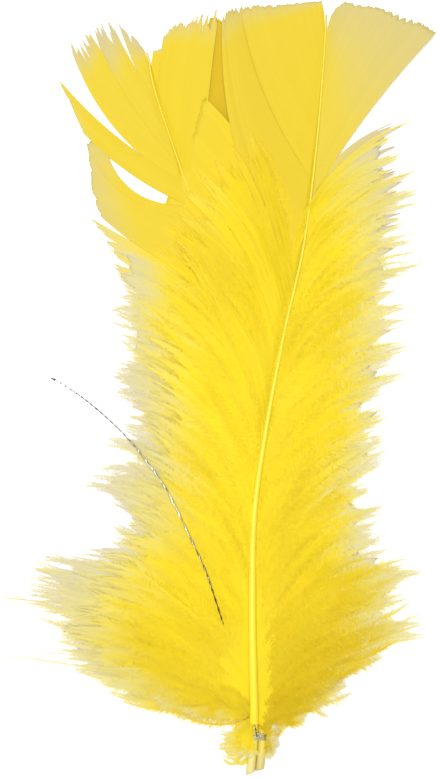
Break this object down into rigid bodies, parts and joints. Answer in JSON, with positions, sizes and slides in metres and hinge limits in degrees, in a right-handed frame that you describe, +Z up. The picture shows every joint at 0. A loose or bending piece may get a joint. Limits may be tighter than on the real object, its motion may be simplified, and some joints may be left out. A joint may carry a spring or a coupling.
{
  "type": "tied pair of turkey body feathers",
  "caption": "Broad dyed body feathers with fluffy down, one lying on the other, tied at the quills with fine wire, with a loose tinsel strand.",
  "frame": {"origin": "on the table, under the middle of the feathers' outline", "axes": "+Y from the quills to the feather tips, +X to the right as in the picture, +Z up off the table"},
  "size_m": [0.0776, 0.1394, 0.0069],
  "materials": {
    "dyed_feather": "matt, soft, dyed keratin: yellow in the middle and paler at the barb tips",
    "wire": "bright drawn metal"
  },
  "bodies": {
    "root": {"front_feather": "dyed_feather", "back_feather": "dyed_feather", "binding_wire": "wire", "tinsel_strand": "wire"}
  },
  "joints": []
}
